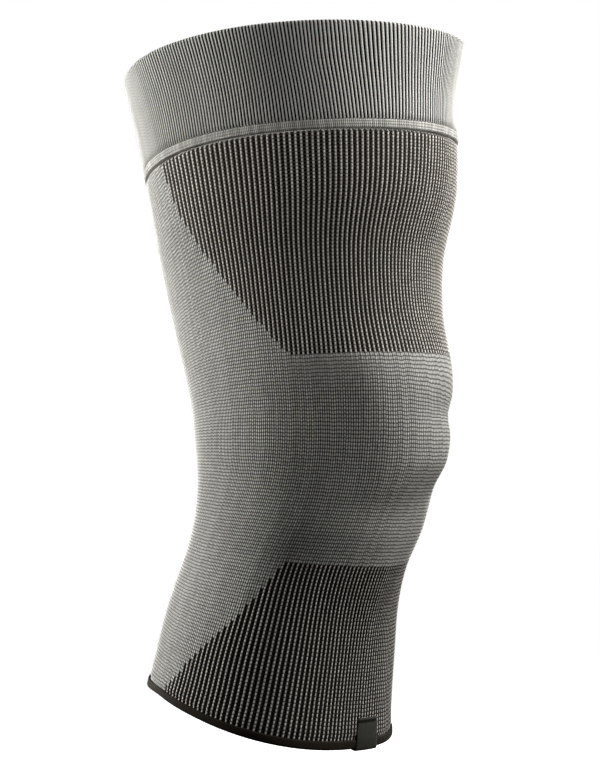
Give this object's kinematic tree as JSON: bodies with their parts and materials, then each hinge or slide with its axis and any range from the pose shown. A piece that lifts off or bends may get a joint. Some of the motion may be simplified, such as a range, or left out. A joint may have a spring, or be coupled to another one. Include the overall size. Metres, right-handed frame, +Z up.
{
  "type": "knee sleeve",
  "caption": "Knitted compression knee sleeve in its worn shape: open tube with a kneecap swell, ribbed thigh cuff, sewn band, taped hem and small folded label.",
  "frame": {"origin": "middle of the knee, inside the open sleeve, halfway between the side walls and level with the lower part of the kneecap", "axes": "+Z up the thigh, -Y out through the kneecap, X across the knee with X = 0 the plane of symmetry"},
  "size_m": [0.1454, 0.1424, 0.296],
  "materials": {
    "grey_knit": "matte stretch knit, mid grey with dark rib panels",
    "pale_welt": "matte light grey overlocked band",
    "ribbed_cuff_knit": "matte double rib knit, light ribs over dark valleys",
    "dark_hem_tape": "matte dark brown elastic tape",
    "dark_label_weave": "smooth dark woven label, unprinted"
  },
  "bodies": {
    "root": {"knit_tube": "grey_knit", "welt_band": "pale_welt", "thigh_cuff": "ribbed_cuff_knit", "hem_binding": "dark_hem_tape", "hem_label": "dark_label_weave"}
  },
  "joints": []
}
